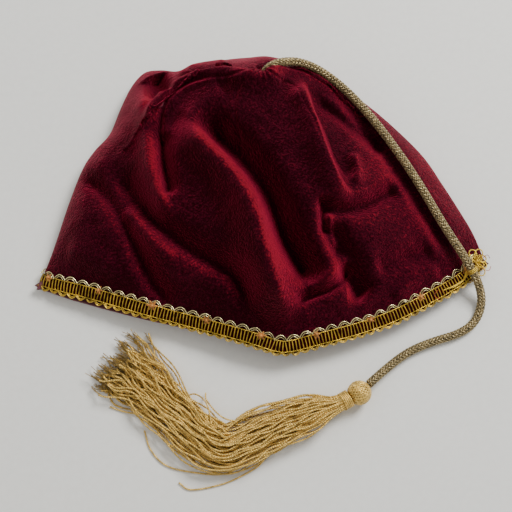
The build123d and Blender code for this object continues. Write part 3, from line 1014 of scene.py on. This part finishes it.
class CAP_OT_stage(bpy.types.Operator):
    """Set the floor, the lights and the camera"""

    bl_idname = "velvet_cap.stage"
    bl_label = "Stage"

    def execute(self, context):
        colours = context.scene.cap_colours
        half = 1.6
        corners = [(-half, -half, 0), (half, -half, 0), (half, half, 0), (-half, half, 0)]
        floor = new_mesh_object("floor", corners, [(0, 1, 2, 3)], floor_material(colours.board))
        world = bpy.data.worlds.new("soft_room")
        world.use_nodes = True
        sky = world.node_tree.nodes["Background"].inputs
        sky["Color"].default_value = (1.0, 0.985, 0.955, 1)
        sky["Strength"].default_value = 0.5
        context.scene.world = world
        aim = Vector((0, -0.03, 0))
        for name, place, size, power in (
                ("window", (0.75, 0.75, 1.1), 0.6, 27.0),
                ("fill", (-0.9, 0.1, 1.2), 1.4, 3.0)):
            light = bpy.data.lights.new(name, "AREA")
            light.size = size
            light.energy = power
            stand(name, light, Vector(place), aim - Vector(place))
        elevation, distance = math.radians(75), 0.6
        target = Vector((-0.004, -0.034, 0))
        back = Vector((0, -math.cos(elevation), math.sin(elevation)))
        lens = bpy.data.cameras.new("camera")
        lens.lens = 68.0
        lens.sensor_width = 36.0
        lens.clip_start = 0.01
        context.scene.camera = stand("camera", lens, target + back * distance, -back)
        return {"FINISHED"}


class CAP_OT_velvet(bpy.types.Operator):
    """Lay the six velvet gores and their lining"""

    bl_idname = "velvet_cap.velvet"
    bl_label = "Velvet gores"

    def execute(self, context):
        sizes, colours = context.scene.cap_sizes, context.scene.cap_colours
        skin = TopSkin(sizes)
        velvet = velvet_material(colours)
        satin = plain_cloth("lining_satin", colours.lining, 900.0)
        thick, thin = sizes.velvet_thickness / MM, sizes.lining_thickness / MM
        for name in GORES:
            outer = gore_grid(skin, name, sizes.gore_columns, sizes.gore_rows)
            n = grid_normals(outer)
            # Each gore carries painted light and shade worked out from its slopes and hollows.
            gore = shell("velvet_" + name, outer, outer - n * thick, velvet, painted_light_and_shade(outer))
            dress(gore, "root", "velvet", "velvet_gore_" + name)
            inside = lining_grid(outer - n * thick, sizes.gore_rows)
            back = shell("lining_" + name, inside, inside - grid_normals(inside) * thin, satin)
            dress(back, "root", "lining", "lining_gore_" + name)
        return {"FINISHED"}


class CAP_OT_facing(bpy.types.Operator):
    """Line the hem with a ribbon facing"""

    bl_idname = "velvet_cap.facing"
    bl_label = "Hem facing"

    def execute(self, context):
        sizes, colours = context.scene.cap_sizes, context.scene.cap_colours
        skin = TopSkin(sizes)
        depth = (sizes.velvet_thickness + sizes.lining_thickness) / MM + 0.3
        rings = [hem_loop(skin, inward, -depth)[0] for inward in (0.6, 3.5, 6.5, 9.5, 12.0)]
        rings += [hem_loop(skin, inward, -depth - 0.5)[0] for inward in (12.0, 9.5, 6.5, 3.5, 0.6)]
        n, m = len(rings[0]), len(rings)
        faces = [(r * n + c, r * n + (c + 1) % n, (r + 1) % m * n + (c + 1) % n, (r + 1) % m * n + c)
                 for r in range(m) for c in range(n)]
        ribbon = plain_cloth("facing_ribbon", colours.facing, 1500.0)
        band = new_mesh_object("hem_ribbon", np.vstack(rings), faces, ribbon)
        merge_points(band)
        dress(band, "root", "facing", "hem_facing")
        return {"FINISHED"}


class CAP_OT_braid(bpy.types.Operator):
    """Sew the scalloped wire braid round the hem"""

    bl_idname = "velvet_cap.braid"
    bl_label = "Hem braid"

    def execute(self, context):
        sizes, colours = context.scene.cap_sizes, context.scene.cap_colours
        skin = TopSkin(sizes)
        gold = thread_material("braid_gold_wire", colours.braid_gold, 0.35, 0.3, metallic=0.8)
        silver = thread_material("braid_pale_wire", colours.braid_silver, 0.45, 0.25, metallic=0.85)
        copper = thread_material("braid_orange_thread", colours.braid_copper, 0.4, 0.45,
                                 metallic=0.3, sheen=0.3)

        def loop(inward, lift):
            return (*hem_loop(skin, inward, lift), True)

        edges = grow("hem_braid_cords", [loop(1.3, 0.5), loop(7.5, 0.5)], rope_tree(), gold,
                     Radius=0.00042, Flatness=0.6, Pitch=0.0024, Step=0.0005, Sides=7)
        dress(edges, "root", "metallic_braid", "hem_braid")
        scallops = row_tree("scallops", double_scallop)
        pitch = sizes.scallop_spacing
        for name, inward, lift, tree, wire_finish, spacing, width, height, radius, jitter, seed in (
                ("ladder", 4.4, 0.3, row_tree("ladder", ladder_bar), gold,
                 sizes.bar_spacing, 0.0066, 0.0009, 0.00036, 0.1, 3),
                ("upper_scallops", 7.8, 0.5, scallops, silver, pitch, 0.0078, 0.0029, 0.00036, 0.1, 3),
                ("lower_scallops", 1.0, 0.5, scallops, gold, pitch * 0.75,
                 0.0058, -0.0020, 0.00038, 0.12, 8),
                ("knots", 7.2, 0.6, row_tree("knots", looped_knot), copper,
                 sizes.knot_spacing, 0.0062, 0.0003, 0.00042, 0.3, 3)):
            row = grow("hem_braid_" + name, [loop(inward, lift)], tree, wire_finish, Spacing=spacing,
                       Width=width, Height=height, Wire=radius, Jitter=jitter, Seed=seed)
            dress(row, "root", "metallic_braid", "hem_braid")
        return {"FINISHED"}


def petal(root, angle, length, width, lift):
    """A loop of wire that leaves a place at an angle and comes back to it."""
    c, s = math.cos(math.radians(angle)), math.sin(math.radians(angle))
    half = [(0, 0, 0), (0.35, 0.4, 0.5), (0.8, 0.5, 1), (1.0, 0, 1)]
    shape = half + [(a, -b, z) for a, b, z in half[-2::-1]]
    return [(root[0] + c * a * length - s * b * width, root[1] + s * a * length + c * b * width,
             root[2] + z * lift) for a, b, z in shape]


class CAP_OT_fastenings(bpy.types.Operator):
    """Tack the cord to the hem over the end of the braid, and knot it in the crown"""

    bl_idname = "velvet_cap.fastenings"
    bl_label = "Tack, braid end and crown knot"

    def execute(self, context):
        sizes = context.scene.cap_sizes
        skin = TopSkin(sizes)

        def on_cloth(x, y, lift):
            return x, y, float(skin.height(np.array([x]), np.array([y]))[0]) + lift

        gold = thread_material("tack_yellow_thread", (0.90, 0.62, 0.05), (0.45, 0.25, 0.02), 0.35,
                               metallic=0.5, sheen=0.3)
        red = thread_material("tack_red_thread", (0.50, 0.06, 0.02), (0.2, 0.02, 0.01), 0.5)
        line = cord_line() / MM
        k = int(np.argmin(np.hypot(line[:, 0] - 126.5, line[:, 1] + 46.5)))
        way = line[k + 1] - line[k - 1]
        way /= np.linalg.norm(way)
        side = np.cross(way, (0, 0, 1.0))
        side /= np.linalg.norm(side)
        top = np.cross(side, way)
        if side[0] > 0:
            side = -side
        r = sizes.cord_diameter / MM / 2 + 0.4
        threads = []
        for j in range(3):
            over = line[k] + way * (j - 1) * 0.95
            near = [(109 + 2 * j, -58.4 + 0.8 * j), (116, -55.2 - 0.4 * j), (121.5, -51.4 - 0.4 * j)]
            away = [(132.0, -43.2 - 0.4 * j), (134.3 - 0.3 * j, -41.6)]
            threads.append([on_cloth(x, y, 1.3) for x, y in near]
                           + [tuple(over + side * r * a + top * r * b)
                              for a, b in ((1, -0.3), (0.75, 0.7), (0, 1), (-0.75, 0.7), (-1, -0.3))]
                           + [on_cloth(x, y, 1.2) for x, y in away])
        tack = rope("hem_tack_threads", map(wire_path, threads), gold, 0.00042, 0.5, 0.0016, 0.0003, 7)
        dress(tack, "root", "tack_thread", "hem_tack")
        root = on_cloth(130.5, -40.0, 1.2)
        loops = [wire_path(petal(root, *form)) for form in (
            (112, 8.0, 4.2, 1.2), (72, 8.2, 4.4, 1.2), (28, 7.0, 4.0, -0.5), (-20, 7.0, 4.0, -1.5),
            (-62, 9.0, 4.6, -1.5), (150, 6.0, 3.6, 1.5), (50, 4.5, 3.0, 2.0), (-35, 5.0, 3.2, 1.0))]
        ends = rope("braid_end_loops", loops, gold, 0.00048, 0.65, 0.0022, 0.0004, 7)
        dress(ends, "root", "metallic_braid", "braid_end")
        hairs = [[(134, -38, 9), (137, -36, 10), (139, -37.5, 8)],
                 [(105, -59, 14), (103, -62, 13), (106, -64, 11)],
                 [(133, -44, 8), (138, -45, 7), (140, -42, 5)]]
        stray = rope("tack_stray_ends", map(wire_path, hairs), red, 0.00025, 0.6, 0.0014, 0.0004, 6)
        dress(stray, "root", "tack_thread")
        a = np.linspace(0, 5 * math.pi, 120)
        winding = np.column_stack([2.6 * np.cos(a), 70 + 2.6 * np.sin(a), 33.5 - 7.0 * a / a[-1]]) * MM
        out = np.column_stack([np.cos(a), np.sin(a), np.zeros(len(a))])
        cord_gold = bpy.data.materials["antique_gold_cord"]
        knot = tubes("crown_knot", [(winding, out)], 10, 0.0034, 0.0034, cord_gold)
        dress(knot, "root", "cord_braid", "cord_anchor_knot")
        return {"FINISHED"}


class CAP_OT_tassel_head(bpy.types.Operator):
    bl_idname = "velvet_cap.tassel_head"
    bl_label = "Tassel head"

    def execute(self, context):
        sizes, colours = context.scene.cap_sizes, context.scene.cap_colours
        silk = thread_material("tassel_gold_silk", colours.tassel, 0.5, 0.30, metallic=0.4, sheen=0.2,
                               glints_and_tone=520.0)
        deep = thread_material("tassel_core_silk", tuple(0.4 * c for c in colours.tassel), 0.375, 0.6)
        middle = np.array([57.0, -119.5, 7.5])
        angle = math.radians(208)
        axis = np.array([math.cos(angle), math.sin(angle), 0.0])
        across = np.array([-axis[1], axis[0], 0.0])
        lift = np.array([0.0, 0.0, 1.0])
        radius = sizes.head_diameter / MM / 2

        def around(a):
            return across * np.cos(a)[:, None] + lift * np.sin(a)[:, None]

        bm = bmesh.new()
        bmesh.ops.create_icosphere(bm, subdivisions=4, radius=(radius - 0.75) * MM)
        for v in bm.verts:
            v.co += Vector(middle * MM)
        mesh = bpy.data.meshes.new("tassel_ball_core")
        bm.to_mesh(mesh)
        bm.free()
        mesh.materials.append(deep)
        core = bpy.data.objects.new("tassel_ball_core", mesh)
        context.collection.objects.link(core)
        dress(core, "tassel", "core_wood", "tassel_core")
        rows = []
        turn = np.linspace(0, 2 * math.pi, 49)[:-1]
        for lean in np.arange(18, 142, 11.2):
            t = math.radians(lean)
            out = axis * -math.cos(t) + around(turn) * math.sin(t)
            rows.append(((middle + out * (radius - 0.75)) * MM, out, True))
        ball = grow("tassel_ball", rows, row_tree("knitting", knit_stitch), silk,
                    Spacing=0.00175, Width=0.00175, Height=0.0017, Wire=0.00044, Jitter=0.1)
        dress(ball, "tassel", "tassel_thread", "tassel_head")
        a = np.linspace(0, 2 * math.pi * 5, 260)
        reach = radius - 0.6 + 5.2 * a / a[-1]
        wound = middle + axis * reach[:, None] + around(a) * 4.9
        neck = rope("tassel_neck_threads", [wound * MM], silk, 0.0006, 0.7, 0.002, 0.0003, 8)
        dress(neck, "tassel", "tassel_thread", "tassel_neck_binding")
        line = cord_line()
        return {"FINISHED"}


class CAP_OT_tassel_skirt(bpy.types.Operator):
    """Hang the tassel's skirt of twisted threads from its neck"""

    bl_idname = "velvet_cap.tassel_skirt"
    bl_label = "Tassel skirt"

    def execute(self, context):
        sizes = context.scene.cap_sizes
        silk = bpy.data.materials["tassel_gold_silk"]
        marks = through(SKIRT, 14)
        steps = np.linalg.norm(np.diff(marks[:, :2], axis=0), axis=1)
        reach = np.concatenate([[0], np.cumsum(steps)]) / steps.sum()
        rng = np.random.default_rng(11)

        def wave(t, least, most):
            return np.sin(2 * math.pi * (rng.uniform(least, most) * t + rng.uniform()))

        n = sizes.skirt_threads
        low, high, frays = [], [], []
        for i in range(n):
            r = math.sqrt((i + 0.5) / n)
            a = i * 2.39996
            end = rng.uniform(0.9, 1.0)
            t = np.linspace(0, end, 120)
            x, y, z, half, tall = (np.interp(t, reach, marks[:, k]) for k in range(5))
            run = np.gradient(np.column_stack([x, y]), axis=0)
            run /= np.linalg.norm(run, axis=1, keepdims=True)
            loose = smooth(t / 0.15) * (1 + 1.1 * smooth((t - 0.72) / 0.28))
            u, v = (middle + loose * (wide * wave(t, 0.7, 1.8) + fine * wave(t, 4, 8))
                    for middle, wide, fine in ((r * np.cos(a), 0.2, 0.06), (r * np.sin(a), 0.3, 0.09)))
            px = x - run[:, 1] * u * half
            py = y + run[:, 0] * u * half
            pz = np.maximum(z + v * tall, 0.85)
            line = np.column_stack([px, py, pz])
            (high if v.mean() > -0.05 else low).append(line * MM)
            for _ in range(3):
                far = line[-1] + np.array([*run[-1], 0]) * rng.uniform(3, 8) + rng.normal(0, 1.6, 3)
                far[2] = max(far[2] * 0.6, 0.4)
                mid = (line[-1] + far) / 2 + rng.normal(0, 0.5, 3)
                mid[2] = max(mid[2], 0.4)
                frays.append(wire_path([line[-3], mid, far]))
        r = sizes.thread_diameter / 2
        pieces = [
            rope("tassel_threads_upper", high, silk, r, 0.52, 0.0028, 0.0008, 7),
            rope("tassel_threads_lower", low, silk, r, 0.52, 0.0028, 0.001, 6),
            rope("tassel_stray_threads", map(wire_path, STRAYS), silk, r * 0.8, 0.6, 0.0028, 0.0006, 7),
            rope("tassel_frayed_ends", frays, silk, 0.00042, 0.6, 0.002, 0.001, 5),
        ]
        for piece in pieces:
            dress(piece, None, "tassel_thread", "tassel_skirt")
            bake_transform(piece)
        return {"FINISHED"}


class CAP_PT_panel(bpy.types.Panel):
    """Buttons for each part of the cap, with its sizes and colours"""

    bl_idname = "CAP_PT_panel"
    bl_label = "Velvet Cap"
    bl_space_type = "VIEW_3D"
    bl_region_type = "UI"
    bl_category = "Velvet Cap"

    def draw(self, context):
        for operator in OPERATORS:
            self.layout.operator(operator.bl_idname)
        for group in (context.scene.cap_sizes, context.scene.cap_colours):
            box = self.layout.box()
            for name in group.bl_rna.properties.keys():
                if name not in ("rna_type", "name"):
                    box.prop(group, name)


OPERATORS = (CAP_OT_stage, CAP_OT_cord, CAP_OT_velvet, CAP_OT_facing, CAP_OT_braid, CAP_OT_fastenings,
             CAP_OT_tassel_head, CAP_OT_tassel_skirt)
CLASSES = (CapSizes, CapColours, *OPERATORS, CAP_PT_panel)


def register():
    for cls in CLASSES:
        bpy.utils.register_class(cls)
    bpy.types.Scene.cap_sizes = PointerProperty(type=CapSizes)
    bpy.types.Scene.cap_colours = PointerProperty(type=CapColours)


def unregister():
    del bpy.types.Scene.cap_colours
    del bpy.types.Scene.cap_sizes
    for cls in reversed(CLASSES):
        bpy.utils.unregister_class(cls)


def main():
    register()
    bpy.ops.velvet_cap.stage()
    bpy.ops.velvet_cap.cord()
    bpy.ops.velvet_cap.velvet()
    bpy.ops.velvet_cap.facing()
    bpy.ops.velvet_cap.braid()
    bpy.ops.velvet_cap.fastenings()
    bpy.ops.velvet_cap.tassel_head()
    bpy.ops.velvet_cap.tassel_skirt()


if __name__ == "__main__":
    main()
